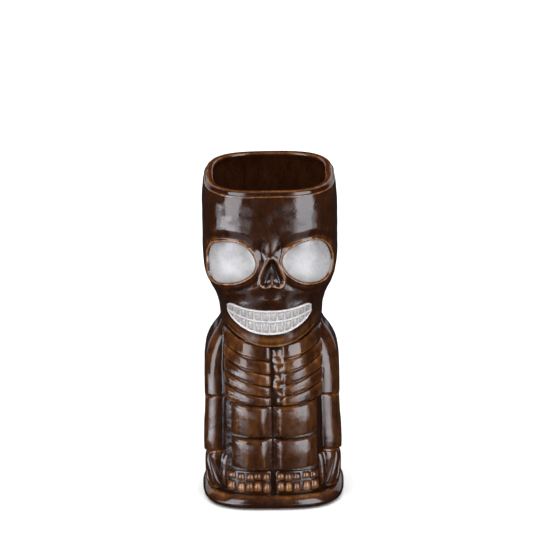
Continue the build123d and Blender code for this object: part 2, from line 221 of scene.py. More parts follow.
def make_piece(name, points, quads, nodes, slot="brown_glaze", thin=0.0, caps=()):
    """A mesh piece that rides on the one body and stands for CAD nodes. thin is how thin the glaze is at
    each point, with painted shade folded into it on the eyes, in the nose and at the feet of the brown pads,
    and caps are faces with other than four corners."""
    mesh = bpy.data.meshes.new(name)
    points, polygons = np.reshape(points, (-1, 3)), np.asarray(quads)
    mesh.vertices.add(len(points))
    mesh.vertices.foreach_set("co", (points * MM).ravel())
    sizes = np.concatenate([np.full(len(polygons), 4), [len(cap) for cap in caps]]).astype(int)
    corners = np.concatenate([polygons.ravel()] + [np.asarray(cap) for cap in caps])
    mesh.loops.add(len(corners))
    mesh.loops.foreach_set("vertex_index", corners.astype(np.int32))
    mesh.polygons.add(len(sizes))
    mesh.polygons.foreach_set("loop_start", np.concatenate([[0], np.cumsum(sizes)[:-1]]).astype(np.int32))
    mesh.update(calc_edges=True)
    mesh.validate()
    mesh.shade_smooth()
    attribute = mesh.attributes.new("thin", "FLOAT", "POINT")
    attribute.data.foreach_set("value", np.broadcast_to(np.ravel(thin), len(points)).astype(float))
    mesh.materials.append(GLAZES[slot])
    piece = bpy.data.objects.new(name, mesh)
    bpy.context.scene.collection.objects.link(piece)
    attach(piece, "root")
    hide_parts(*nodes)


def closed_sheet(top, under):
    """Points and quads of a sheet with a top, an underside and a rim between them."""
    rows, columns = top.shape[:2]
    count = rows * columns
    ring = np.concatenate([np.arange(columns), np.arange(1, rows) * columns + columns - 1,
                           (rows - 1) * columns + np.arange(columns - 2, -1, -1),
                           np.arange(rows - 2, 0, -1) * columns])
    following = np.roll(ring, -1)
    quads = np.concatenate([grid_faces(rows, columns, False), grid_faces(rows, columns, False, count, True),
                            np.stack([ring, ring + count, following + count, following], -1)])
    return np.concatenate([top.reshape(-1, 3), under.reshape(-1, 3)]), quads


PAD_CROWDING = 1.35  # how much closer together a pad's points are near its edges
PAD_BACK = 0.35  # depth of a pad's underside below its edge


def spread_out(count):
    """Places from -1 to 1, closer together near both ends."""
    t = np.linspace(-1, 1, count)
    return np.sign(t) * (1 - (1 - np.abs(t)) ** PAD_CROWDING)


def pad_arrays(place, rows, columns, height, sink=0.8, bend=(2.4, 2.4), tint=0.1, crown=None, edge=0.4,
               passes=6):
    """A closed pillow. place(u, v, h) puts a point of the patch, u and v from -1 to 1, at height h over
    the skin. Its edges run down under the skin, so its outline rounds off by itself. bend is how square it
    is each way. The glaze has the given tint on its face and is thinner by up to edge where it bends."""
    u, v = np.meshgrid(spread_out(columns), spread_out(rows))
    across, along = 1 - np.abs(u) ** (2 * bend[0]), 1 - np.abs(v) ** (2 * bend[1])
    shape = (np.clip(across, 0, 1) * np.clip(along, 0, 1)) ** 0.5
    lift = -sink + (height + sink) * shape
    if crown is not None:
        lift = lift + crown(u, v) * shape
    top = place(u, v, lift)
    points, quads = closed_sheet(top, place(u, v, np.full_like(lift, -sink - PAD_BACK)))
    thin = edge * np.clip(ridge_map(top, passes=passes), 0, 1) + (tint(u, v) if callable(tint) else tint)
    # Towards the skin thin goes to 0: on the brown pads that is the darkest glaze, partly glaze pooled at
    # the foot and partly painted shade in the crease where the pad meets the skin.
    thin = thin * step(0.0, 0.3 * height, lift)
    return points, quads, np.concatenate([thin.ravel(), np.zeros(rows * columns)])


def between(start, end, v):
    """From start to end as v goes from -1 to 1."""
    return start + (v + 1) / 2 * (end - start)


def make_pads(node, pads, slot="brown_glaze"):
    """One piece out of one or more pillows, in place of a CAD node."""
    points, quads, thin, offset = [], [], [], 0
    for p, q, t in pads:
        points.append(p)
        quads.append(q + offset)
        thin.append(t)
        offset += len(p)
    make_piece(f"glazed_{node}", np.concatenate(points), np.concatenate(quads), [node], slot,
               np.concatenate(thin))


# ---- Materials ----
class Nodes:
    """A short way to write a material's nodes."""

    def __init__(self, name):
        self.material = bpy.data.materials.new(name)
        self.material.use_nodes = True
        self.tree = self.material.node_tree
        self.tree.nodes.clear()
        self.output = self.new("OutputMaterial")
        self.shader = self.new("BsdfPrincipled")
        self.tree.links.new(self.shader.outputs[0], self.output.inputs["Surface"])
        self.place = self.new("TexCoord").outputs["Object"]

    def new(self, kind):
        return self.tree.nodes.new("ShaderNode" + kind)

    def link(self, source, target):
        self.tree.links.new(source, target)

    def put(self, socket, value):
        if isinstance(value, bpy.types.NodeSocket):
            self.link(value, socket)
        else:
            socket.default_value = value

    def math(self, kind, a, b=0.0, clamp=False):
        node = self.new("Math")
        node.operation = kind
        node.use_clamp = clamp
        self.put(node.inputs[0], a)
        self.put(node.inputs[1], b)
        return node.outputs[0]

    def noise(self, size_mm, detail=4.0, rough=0.55, stretch=(1, 1, 1)):
        """Noise whose features are about size_mm across."""
        node = self.new("TexNoise")
        mapping = self.new("Mapping")
        self.link(self.place, mapping.inputs["Vector"])
        mapping.inputs["Scale"].default_value = stretch
        self.link(mapping.outputs[0], node.inputs["Vector"])
        node.inputs["Scale"].default_value = 1 / (size_mm * MM)
        node.inputs["Detail"].default_value = detail
        node.inputs["Roughness"].default_value = rough
        return node.outputs["Fac"]

    def attribute(self, name):
        node = self.new("Attribute")
        node.attribute_name = name
        return node.outputs["Fac"]

    def ramp(self, source, stops):
        node = self.new("ValToRGB")
        self.link(source, node.inputs["Fac"])
        elements = node.color_ramp.elements
        while len(elements) < len(stops):
            elements.new(0.5)
        for element, (place, colour) in zip(elements, stops):
            element.position = place
            element.color = (*colour, 1)
        return node.outputs["Color"]

    def spread(self, source, low, high, out_low=0.0, out_high=1.0):
        node = self.new("MapRange")
        self.link(source, node.inputs["Value"])
        limits = {"From Min": low, "From Max": high, "To Min": out_low, "To Max": out_high}
        for label, value in limits.items():
            node.inputs[label].default_value = value
        return node.outputs["Result"]

    def vary(self, noise, out_low, out_high):
        """Values between two limits from a noise, which keeps mostly to the middle of its range."""
        return self.spread(noise, 0.3, 0.7, out_low, out_high)

    def bump(self, height, distance_mm, strength):
        node = self.new("Bump")
        node.inputs["Strength"].default_value = strength
        node.inputs["Distance"].default_value = distance_mm * MM
        self.link(height, node.inputs["Height"])
        self.link(node.outputs["Normal"], self.shader.inputs["Normal"])


ESPRESSO = (0.019, 0.0062, 0.0026)
UMBER = (0.044, 0.0132, 0.0046)
CHESTNUT = (0.115, 0.039, 0.0095)
AMBER = (0.29, 0.118, 0.032)
TAN = (0.60, 0.36, 0.22)
# From the thickest glaze to the thinnest; espresso is also the painted shade in the nose and at pads' feet.
BROWNS = [(0.0, ESPRESSO), (0.2, UMBER), (0.45, CHESTNUT), (0.72, AMBER), (1.0, TAN)]
# The grey stops also give the painted shade under the brow on the eyes' upper halves.
WHITES = [(0.0, (0.80, 0.79, 0.80)), (0.3, (0.57, 0.56, 0.575)), (0.64, (0.29, 0.275, 0.28)),
          (0.84, (0.40, 0.27, 0.20)), (1.0, (0.36, 0.17, 0.075))]
TOOTH_STAINS = [(0.0, (0.80, 0.78, 0.77)), (0.35, (0.58, 0.54, 0.53)), (0.7, (0.36, 0.31, 0.295)),
                (1.0, (0.20, 0.15, 0.135))]
CLAYS = [(0.3, (0.30, 0.18, 0.11)), (0.55, (0.46, 0.30, 0.19)), (0.75, (0.60, 0.44, 0.32))]


def brown_glaze():
    """Dark glossy glaze: espresso where it is thick and where shade is painted, amber where it runs thin
    over an edge.
    """
    n = Nodes("brown_glaze")
    streaks = n.noise(4.0, 5.0, 0.6, (1, 1, 0.4))
    speckle = n.noise(0.8, 3.0, 0.6)
    thin = n.attribute("thin")
    wander = n.math("ADD", n.vary(streaks, -0.20, 0.19), n.vary(speckle, -0.06, 0.06))
    more_where_thin = n.spread(thin, 0.05, 0.4, 0.35, 1.0)
    amount = n.math("ADD", thin, n.math("MULTIPLY", wander, more_where_thin), clamp=True)
    n.link(n.ramp(amount, BROWNS), n.shader.inputs["Base Color"])
    n.link(n.spread(n.noise(5.0, 5.0, 0.6), 0.36, 0.64, 0.07, 0.21), n.shader.inputs["Roughness"])
    n.shader.inputs["IOR"].default_value = 1.54
    n.bump(n.noise(4.0, 5.0, 0.55), 0.15, 0.8)
    return n.material


def white_glaze():
    """Opaque white glaze, greyer where it lies over a bend and where shade is painted on the upper eyes, and
    tan where it breaks at its rim.
    """
    n = Nodes("white_glaze")
    thin = n.attribute("thin")
    clouds = n.math("ADD", n.vary(n.noise(6.0, 3.0, 0.5), -0.10, 0.10),
                    n.vary(n.noise(1.2, 3.0), -0.03, 0.03))
    n.link(n.ramp(n.math("ADD", thin, clouds, clamp=True), WHITES), n.shader.inputs["Base Color"])
    n.link(n.vary(n.noise(2.0, 4.0), 0.22, 0.34), n.shader.inputs["Roughness"])
    n.bump(n.noise(3.0, 3.0), 0.08, 0.5)
    return n.material


def tooth_glaze():
    """White glaze over the teeth, stained pinkish grey where it thins into the hollows."""
    n = Nodes("tooth_glaze")
    stain = n.math("ADD", n.attribute("thin"), n.vary(n.noise(0.9, 4.0, 0.65), -0.22, 0.22), clamp=True)
    n.link(n.ramp(stain, TOOTH_STAINS), n.shader.inputs["Base Color"])
    n.link(n.vary(n.noise(1.0, 3.0), 0.2, 0.32), n.shader.inputs["Roughness"])
    n.bump(n.noise(0.9, 3.0), 0.06, 0.6)
    return n.material


def bare_clay():
    """Fired stoneware of the foot ring, wiped clean of glaze."""
    n = Nodes("bare_clay")
    grit = n.noise(0.5, 5.0, 0.7)
    cloud = n.noise(6.0, 3.0)
    mixed = n.math("ADD", n.math("MULTIPLY", grit, 0.6), n.math("MULTIPLY", cloud, 0.4))
    n.link(n.ramp(mixed, CLAYS), n.shader.inputs["Base Color"])
    n.link(n.vary(grit, 0.75, 0.92), n.shader.inputs["Roughness"])
    n.bump(grit, 0.08, 0.8)
    return n.material


GLAZES = {make.__name__: make() for make in (brown_glaze, white_glaze, tooth_glaze, bare_clay)}

# ---- Face outlines ----
EYES = {
    "left": loop_through([(-33.6, 137), (-33.4, 143.4), (-31, 149), (-25, 151.8), (-17, 151.8),
                          (-11.8, 148.6), (-8.4, 143.6), (-7.6, 138.6), (-10.2, 133.6), (-16.6, 129.6),
                          (-24, 127.7), (-30, 126.9), (-33.1, 129.8)]),
    "right": loop_through([(6, 140.2), (7.8, 145.8), (13, 150), (19.6, 152.2), (26, 151.9),
                           (30.4, 148.2), (32.8, 142), (33.2, 136), (31.8, 130.8), (28.2, 128),
                           (22.4, 127.7), (15.6, 129.5), (9.2, 134.2)]),
}
NOSE = loop_through([(0.8, 143), (2.9, 141.6), (5, 137.6), (6.9, 132.6), (7.1, 128.8), (5.2, 127),
                     (3, 127.1), (0.8, 127.9), (-1.4, 127.1), (-3.6, 127), (-5.5, 128.8), (-5.3, 132.6),
                     (-3.4, 137.6), (-1.3, 141.6)])
MOUTH_HALF = 22.6
MOUTH_SHIFT = -0.9  # the grin sits a little off the middle
MOUTH_ROUND = 0.84  # share of the half width at which the rounded corners start
MOUTH_TOP, MOUTH_SEAM, MOUTH_LOW, CHIN_LOW = 113.7, 106.9, 99.1, 91.7  # heights in the middle


def mouth_share(x):
    """Share of the way from the middle of the mouth to its corner."""
    return np.abs(x) / MOUTH_HALF


def mouth_corner(x):
    """How far the mouth's edges close in at its rounded corners, from 0 to 1."""
    along = np.clip((mouth_share(x) - MOUTH_ROUND) / (1 - MOUTH_ROUND), 0, 1)
    return 1 - np.sqrt(np.clip(1 - along ** 2, 0, 1))


def mouth_top(x):
    return MOUTH_TOP + 3.0 * mouth_share(x) ** 2.0 - 3.2 * mouth_corner(x)


def mouth_low(x):
    return MOUTH_LOW + 9.5 * mouth_share(x) ** 2.4 + 4.6 * mouth_corner(x)


def mouth_seam(x):
    return MOUTH_SEAM + 4.2 * mouth_share(x) ** 2


def chin_line(x):
    """Lower edge of the jaw."""
    return CHIN_LOW + 10.2 * (np.minimum(np.abs(x), 30) / 26.0) ** 2.1


EYE_FLOOR = -1.3  # depth of the sockets
NOSE_X = 0.5  # middle of the bridge
BROW_LOW = 143


def face_relief(x, z, eyes, nose):
    """Relief of the skull's front over the plain face. eyes and nose are the distances to their outlines."""
    above = step(BROW_LOW, 150, z)
    lift = -2.5 * (1 - np.exp(-(nose / 1.8) ** 2)) * (nose < 0)
    for d in eyes:
        lift += EYE_FLOOR * (1 - step(-0.7, 0.1, d))
        lift -= 0.9 * step(6.5, 0.8, d) * above * (d > 0)  # the forehead slopes in to the socket
        lift += 0.36 * bell(d, 0.4, 0.42)  # rim
        lift -= 0.40 * bell(d, 4.4, 1.8) * (1 - above)  # dip round the cheek
    lift += 0.60 * bell(nose, 0.4, 0.5)
    lift -= 1.15 * bell(np.abs(x - NOSE_X), 5.6, 2.3) * bell(z, 147.0, 5.2)  # both sides of the bridge
    lift += 0.40 * bell(x, NOSE_X, 2.2) * bell(z, 149, 5)
    lift += 0.80 * bell(x, -0.6, 4.6) * bell(z, 119.4, 2.6)  # upper lip
    lift -= 1.0 * bell(np.abs(x), 17.0, 7.0) * bell(z, 120.0, 4.2)  # hollow cheeks
    return lift


# ---- Skull ----
def ring_angles(columns, back_share):
    """Plan angles spread evenly along the head's outline, sparser at the back."""
    dense = np.linspace(-math.pi, math.pi, 4001)
    radius = plan_radius(FACE, dense, 150.0)
    x, y = radius * np.cos(dense), radius * np.sin(dense)
    length = np.hypot(np.diff(x), np.diff(y))
    weight = back_share + (1 - back_share) * (1 - step(-4, 8, (y[1:] + y[:-1]) / 2))
    travelled = np.concatenate([[0], np.cumsum(length * weight)])
    return np.interp(np.linspace(0, travelled[-1], columns, endpoint=False), travelled, dense)


def grid_from(rows, angles):
    """Grid of points from rows of a height and a radius for each plan angle."""
    return np.array([polar(radius, angles, z) for z, radius in rows])


LIP_LOW = RIM_Z - 2.5
# Height, inset from the skin, and how bare of glaze, over the lip from outside to inside.
LIP = [(177.6, 0.10, 0.50), (177.85, 0.38, 0.22), (178.2, 0.62, 0.06), (178.7, 0.82, 0.04),
       (179.1, 1, 0.05), (179.4, 1.2, 0.12), (179.7, 1.55, 0.42), (179.9, 1.95, 0.62), (RIM_Z, 2.4, 0.50),
       (RIM_Z, 2.9, 0.25), (RIM_Z, 3.7, 0.20), (179.9, 4.3, 0.35), (179.6, 4.75, 0.60), (179.1, 5, 0.35),
       (178.4, 5.15, 0.10)]
NECK_TOP = 112  # above this the inside follows the head, below it the neck


def skull_wear_and_shade(x, z, eyes, nose):
    """How much thinner the glaze is on the front: round the eyes and the nose, and along the jaw. Inside the
    nose it is darker instead, as painted shade in the hollow.
    """
    uneven = 0.72 + 0.28 * np.sin(0.9 * x + 0.35 * z) * np.sin(0.41 * x - 0.83 * z + 1.0)
    above = step(BROW_LOW, 151, z)
    over_chin = z - chin_line(x)
    worn = np.zeros_like(z)
    for d in eyes:
        worn += 0.50 * uneven * bell(d, 0.15, 0.28) + (0.05 + 0.34 * above * uneven) * bell(d, 1.5, 1.1)
    # The nose's rim is worn thin; inside the nose the colour is darkened as painted shade in the hollow.
    worn += 0.45 * uneven * bell(nose, 0.25, 0.42) - 0.6 * (nose < -0.8)
    return worn + (0.46 * bell(over_chin, 4.2, 2.3) + 0.25 * bell(over_chin, 0.9, 0.6)) * bell(x, 0, 22)


def make_skull():
    """Outside, lip and inside of the skull as one closed mesh."""
    angles = ring_angles(500, 0.28)
    heights = np.linspace(SKULL_FOOT, LIP_LOW, 270)
    z, angle = np.meshgrid(heights, angles, indexing="ij")
    face, neck = plan_radius(FACE, angle, z), plan_radius(NECK, angle, z)
    x, y = face * np.cos(angle), face * np.sin(angle)
    front = 1 - step(-12.0, 0.0, y)
    front_x = np.where(front > 0, x, 999)
    jaw = step(-1.0, 0.7, z - chin_line(x))
    radius = neck + (face - neck) * (jaw * front + (1 - front))
    eyes = [signed_distance(front_x, z, loop) for loop in EYES.values()]
    nose = signed_distance(front_x, z, NOSE)
    radius = radius + face_relief(x, z, eyes, nose) * front + ripple(x, y, z)
    radius += 0.20 * bell(z, LIP_LOW, 0.5)
    rows = list(zip(heights, radius))
    rows += [(lip_z, radius[-1] - inset) for lip_z, inset, _ in LIP]
    for inside_z in np.linspace(177.0, SKULL_FOOT, 40):
        slack = 8 if inside_z > NECK_TOP else 0.3
        inside = np.minimum(plan_radius(FACE, angles, inside_z), plan_radius(NECK, angles, inside_z) + slack)
        rows.append((inside_z, inside - WALL - 0.8))
    grid = grid_from(rows, angles)
    thin = 0.34 * np.clip(ridge_map(grid, wrap=True, passes=8, full=0.12), 0, 1) + 0.13
    for row, (_, _, bare) in enumerate(LIP, len(heights)):
        thin[row] = bare * (0.86 + 0.14 * np.sin(9 * angles + 1.3) * np.sin(4 * angles))
    lip_line = bell(z, LIP_LOW, 0.34)
    worn = skull_wear_and_shade(x, z, eyes, nose) + 0.28 * lip_line
    thin[:len(heights)] += worn * np.where(lip_line > 0.1, 1.0, front)
    make_piece("glazed_skull", grid, tube_faces(len(rows), len(angles)),
               ["skull", "upper_jaw", "lower_jaw", "nose_rim"], thin=np.clip(thin, 0, 1))


# ---- Eyes and nose ----
def face_point(x, z, out):
    """A point on the plain face at x and z, moved out."""
    return skin_point(FACE, angle_at(FACE, x, z), z, out)


def make_lens(side):
    """A domed lens of white glaze that fills its socket."""
    loop = EYES[side]
    centre = loop.mean(0)
    shares = (1 - np.linspace(0, 0.985, 30) ** 1.4)[:, None]
    x = centre[0] + shares * 0.985 * (loop[:, 0] - centre[0])
    z = centre[1] + shares * 0.985 * (loop[:, 1] - centre[1])
    dome = EYE_FLOOR + 0.35 + 1.0 * (1 - shares ** 5.0) ** 0.6
    dome = dome + 0.10 * np.sin(x / 3.4 + z / 4.7) * (1 - shares ** 2)
    top = face_point(x, z, dome)
    under = face_point(x, z, np.full_like(dome, EYE_FLOOR - 0.5))
    rings, around = x.shape
    count = rings * around
    edge = np.arange(around)
    quads = [grid_faces(rings, around, True, 0, True), grid_faces(rings, around, True, count),
             np.stack([edge, np.roll(edge, -1), np.roll(edge, -1) + count, edge + count], -1)]
    inner = (rings - 1) * around + edge
    middles = np.stack([top[-1].mean(0), under[-1].mean(0)])
    caps = [(b, a, 2 * count) for a, b in zip(inner, np.roll(inner, -1))]
    caps += [(a + count, b + count, 2 * count + 1) for a, b in zip(inner, np.roll(inner, -1))]
    height = (z - centre[1]) / np.ptp(loop[:, 1])
    # The upper half of each lens is painted greyer as shade under the brow; the outermost ring goes tan
    # where the glaze breaks at its rim.
    grey = 0.22 + 0.36 * step(-0.05, 0.5, height) + 0.44 * step(0.955, 1.0, shares)
    thin = np.concatenate([grey.ravel(), np.ones(count), [0.22, 1.0]])
    points = np.concatenate([top.reshape(-1, 3), under.reshape(-1, 3), middles])
    make_piece(f"glazed_{side}_eye", points, np.concatenate(quads), [f"{side}_eye"], "white_glaze", thin,
               caps)


def make_septum():
    """The short thin wall in the bottom of the nose."""
    def place(u, v, h):
        return face_point(0.8 + u * (1.1 - 0.5 * v), 129.9 + v * 3.4, h - 1.3 - 0.9 * v)

    make_pads("nose_septum", [pad_arrays(place, 26, 16, 2.0, 1.2, (0.9, 1.4), 0.34, None, 0.1)])


# ---- Mouth ----
TEETH_ACROSS = 12
TOOTH_NARROWING = 0.18  # next to even spacing: wider by this in the middle, narrower at the ends
TOOTH_GAP = 0.36  # from a tooth to the middle of the ridge beside it
tooth_stops = np.linspace(-1, 1, TEETH_ACROSS + 1)
TOOTH_EDGES = (MOUTH_HALF - 0.9) * tooth_stops * (1 + TOOTH_NARROWING * (1 - np.abs(tooth_stops)))


def make_mouth_frame():
    """The white border of the grin, with the thin ridges between the teeth."""
    t, s = np.meshgrid(np.linspace(0, 1, 110), np.sin(np.linspace(-0.5, 0.5, 360) * math.pi), indexing="ij")
    x = MOUTH_HALF * s
    low, high = mouth_low(x), mouth_top(x)
    z = low + (high - low) * t
    margin = np.minimum(np.minimum(z - low, high - z), MOUTH_HALF - np.abs(x))
    upright = np.min(np.abs(x[..., None] - TOOTH_EDGES[1:-1]), -1)
    ridge = np.maximum(bell(upright, 0, 0.34), bell(z - mouth_seam(x), 0, 0.38))
    border = bell(margin, 0.85, 0.60)
    raised = np.maximum(ridge, border)
    wobble = 0.06 * np.sin(x * 1.7 + z) + 0.05 * np.sin(x * 0.6 - z * 1.3)
    lift = 0.15 + 0.72 * raised + wobble - 1.3 * (1 - step(0.0, 0.5, margin))
    points, quads = closed_sheet(face_point(x + MOUTH_SHIFT, z, lift),
                                 face_point(x + MOUTH_SHIFT, z, np.full_like(lift, -1.2)))
    thin = 0.30 * (1 - raised) + 0.55 * (1 - step(0.05, 0.5, margin))
    make_piece("glazed_mouth_frame", points, quads, ["mouth_frame"], "white_glaze",
               np.concatenate([thin.ravel(), np.ones(thin.size)]))


def make_teeth(node, upper):
    """One row of small crowned teeth between the ridges."""
    pads = []
    for start, end in zip(TOOTH_EDGES, TOOTH_EDGES[1:]):
        def place(u, v, h, start=start, end=end):
            x = (start + end) / 2 + u * ((end - start) / 2 - TOOTH_GAP)
            near, far = mouth_low(x) + 1.2, mouth_seam(x) - TOOTH_GAP
            if upper:
                near, far = mouth_seam(x) + TOOTH_GAP, mouth_top(x) - 1.2
            return face_point(x + MOUTH_SHIFT, between(near, far, v), h + 0.1)

        def stain(u, v, start=start, end=end):
            cell = np.maximum(np.abs(u), np.abs(v)) ** 2.5
            return 0.22 + 0.50 * cell + 0.25 * mouth_share((start + end) / 2) ** 2

        pads.append(pad_arrays(place, 17, 13, 0.62, 0.5, (1.3, 1.6), stain, None, 0.0))
    make_pads(node, pads, "tooth_glaze")


# ---- Torso and base ----
# Swell at each distance from the middle.
CHEST = smooth_curve([(0, 1.1), (5, 1.25), (9, 1.5), (13, 1.6), (16, 1.3), (19, 0.75), (22, 0.2), (25, -0.1),
                      (32, -0.2)])


def chest(x, z):
    """Swell of the chest over the plain body's front."""
    return CHEST(np.abs(x))[0] * step(56.5, 59.5, z)


TORSO_INSIDE = WALL + 0.3  # from the skin in to the glazed inside
FLOOR_EDGE = 9.0  # height at which the inside starts to round in to the floor
# Height, and share of the radius at that edge.
CUP_FLOOR = [(7.0, 0.965), (6.0, 0.91), (5.6, 0.80), (5.5, 0.5), (5.5, 0.05)]


def make_torso():
    """The lower half of the cup: outside, inside and floor."""
    angles = ring_angles(240, 0.6)
    rows = []
    for z in np.concatenate([np.linspace(1.6, 92.0, 130), [93.5, 95.0]]):
        radius = plan_radius(BODY, angles, z)
        x, y = radius * np.cos(angles), radius * np.sin(angles)
        front = step(-12, -22, y)
        rows.append((z, radius + ripple(x, y, z) * (1 - 0.75 * front) + chest(x, z) * front))
    for z in np.linspace(94.6, FLOOR_EDGE, 46):
        rows.append((z, plan_radius(BODY, angles, z) - TORSO_INSIDE))
    edge = rows[-1][1]
    rows += [(z, edge * share) for z, share in CUP_FLOOR]
    grid = grid_from(rows, angles)
    columns = len(angles)
    caps = [np.arange(columns)[::-1], (len(rows) - 1) * columns + np.arange(columns)]
    thin = 0.02 + (grid[..., 1] > 0) * 0.05
    make_piece("glazed_torso", grid, grid_faces(len(rows), columns, True), ["torso"],
               thin=thin, caps=caps)


# Height, how far out of the outline (negative is inward) and how thin the glaze is, from the plinth's top
# round to its underside.
PLINTH = [(7.1, -8, 0), (7.3, -5.4, 0.08), (7.25, -4, 0.40), (6.9, -2.6, 0.50), (6.2, -1.6, 0.38),
          (5.2, -0.7, 0.22), (4.2, -0.15, 0.16), (3.2, 0, 0.15), (2.2, -0.2, 0.20), (1.4, -0.7, 0.36),
          (0.95, -1.5, 0.42), (0.8, -2.4, 0.2), (0.8, -3.1, 0), (1.2, -7, 0)]
PLINTH_SQUARE_FRONT, PLINTH_SQUARE_BACK = 3.15, 2.25
FOOT_DEEPER = plinth_high[1] - plinth_high[0]  # the plan is this much longer than wide, each way
# Height and half width round the foot ring.
FOOT_RING = [(1.5, 35), (0.5, 35), (0.12, 34.8), (0, 34.3), (0, 31.3), (0.12, 30.8), (0.5, 30.6),
             (1.5, 30.6)]


def make_plinth():
    """The rolled base, with a thin line worn along its upper edge."""
    angles = ring_angles(300, 0.8)
    half, front, back = plinth_high[0], -plinth_low[1], plinth_high[1]
    dense = smooth_curve([(i, *values) for i, values in enumerate(PLINTH)])
    z, inset, thin = dense(np.linspace(0, len(PLINTH) - 1, 84))
    front_plan = plan_radius(lambda q: (half, front, back, PLINTH_SQUARE_FRONT), angles, 0.0)
    back_plan = plan_radius(lambda q: (half, front, back, PLINTH_SQUARE_BACK), angles, 0.0)
    outline = np.where(np.sin(angles) < 0, front_plan, back_plan)
    sway = 0.16 * np.sin(3 * angles + 0.8) + 0.10 * np.sin(7 * angles + 2.0)
    height = z[:, None] + sway * step(1.5, 4.0, z)[:, None]
    grid = polar(outline[None, :] + inset[:, None], angles, height)
    colour = thin[:, None] * (0.75 + 0.25 * np.sin(5 * angles + 1.0))
    make_piece("glazed_plinth", grid, tube_faces(*grid.shape[:2], True), ["plinth"],
               thin=np.clip(colour, 0, 1))


def make_foot_ring():
    """The bare clay ring that the mug stands on."""
    angles = ring_angles(200, 0.8)
    rows = []
    for z, half in FOOT_RING:
        deep = half + FOOT_DEEPER
        rows.append((z, plan_radius(lambda q, half=half, deep=deep: (half, deep, deep, 3.0), angles, 0.0)))
    grid = grid_from(rows, angles)
    make_piece("foot_ring_clay", grid, tube_faces(*grid.shape[:2], True), ["foot_ring"], "bare_clay")


# ---- Ribs and sternum ----
def body_point(x, z, out):
    """A point on the torso's front at x and z, moved out."""
    return skin_point(BODY, angle_at(BODY, x, z), z, out + chest(x, z))


def body_back_point(x, z, out):
    """A point on the torso's back at x and z, moved out."""
    return skin_point(BODY, angle_at(BODY, x, z, True), z, out)


# Lower and upper height beside the breastbone, and the rise of each edge to the arm.
RIBS = [(83.4, 91.8, 7.6, 7), (76, 83, 8.8, 7.8), (69.2, 75.6, 8.8, 9), (63.2, 68.8, 6.9, 9),
        (57.9, 62.8, 3.6, 7.1)]
RIB_INNER = {"left": 0.6, "right": 5.0}
RIB_END = {"left": 25.8, "right": 27.3}
RIB_OUTER = 29.6  # x at which an edge has made its whole rise
RIB_HEIGHT = 1.45
# Of the breastbone's knobs: place across and along it, size and length.
KNOBS = [(-0.3, -0.86, 1, 0.11), (0.3, -0.60, 1.5, 0.12), (-0.25, -0.33, 1.2, 0.11),
         (0.2, -0.05, 1.7, 0.13), (-0.3, 0.25, 1.4, 0.12), (0.2, 0.53, 1.3, 0.12), (-0.1, 0.80, 1.1, 0.11)]
STERNUM_Z = 74.4  # its middle


def rise(share):
    """How much of its rise a rib has at a share of the way from the breastbone to the arm."""
    return 0.44 * share + 0.56 * share ** 2


def make_rib(side, number):
    """One rib of a side; number 1 is the highest."""
    low, high, low_rise, high_rise = RIBS[number - 1]
    sign = SIDES[side]

    def place(u, v, h):
        x = sign * between(RIB_INNER[side], RIB_END[side], u * sign)
        reach = rise(np.abs(x) / RIB_OUTER)
        z = between(low + low_rise * reach, high + high_rise * reach, v)
        return body_point(x, z, h + 0.12 * np.sin(x / 2.3 + number) * (h > 0.5))

    def tint(u, v):
        towards_middle = (1 - u * sign) / 2
        return 0.25 + 0.14 * towards_middle * (number > 1) + 0.09 * np.sin(3 * u + 2 * number) - 0.06 * v

    pad = pad_arrays(place, 40, 110, RIB_HEIGHT, 0.7, (5.5, 2.5), tint, None, 0.42, 4)
    make_pads(f"{side}_rib_{number}", [pad])


def make_sternum():
    """An uneven knobbed breastbone, a little to the right of the middle."""
    def place(u, v, h):
        z = STERNUM_Z + v * 16.2
        middle = 4.1 - 0.05 * (z - STERNUM_Z) + 0.42 * np.sin(z / 3.1 + 0.8)
        return body_point(middle + u * (3.6 + 0.5 * np.sin(z / 2.1)), z, h)

    def crown(u, v):
        return sum(0.7 * size * bell(u, u0, 0.75) * bell(v, v0, length) for u0, v0, size, length in KNOBS)

    def tint(u, v):
        return 0.18 + 0.30 * np.clip(crown(u, v), 0, 1)

    make_pads("sternum", [pad_arrays(place, 130, 34, 0.6, 0.9, (1.6, 5.0), tint, crown, 0.14, 4)])


# ---- Limbs ----
# Height of a leg over the body at each distance from the middle.
LEG_OUTSIDE = [(8.5, 3.4), (12.5, 3.4), (16, 3.25), (18.5, 2.8), (20.5, 2), (22.2, 0.9), (23.6, -0.6)]
LEG_INSIDE = {"left": [(0, -0.5), (0.6, 0.1), (1.5, 0.75), (3, 1.85), (4, 2.5), (5, 3), (6, 3.25),
                       (7, 3.35)],
              "right": [(0, -0.5), (0.6, 0.1), (1.5, 1), (2.4, 1.95), (3.2, 2.65), (4, 3.08), (5, 3.3),
                        (6, 3.38)]}
LEG_SECTION = {side: smooth_curve(inside + LEG_OUTSIDE) for side, inside in LEG_INSIDE.items()}
LEG_WIDTH = LEG_OUTSIDE[-1][0]
LEG_SHARE = {"left": 0.97, "right": 1.03}  # stretch across of each side's legs
# Lowest and highest z and height of the toes' tips and knuckles.
TOE_ROWS = [(8.8, 15.2, 3.4), (15.4, 20.0, 2.7)]
TOE_PITCH = 4.45


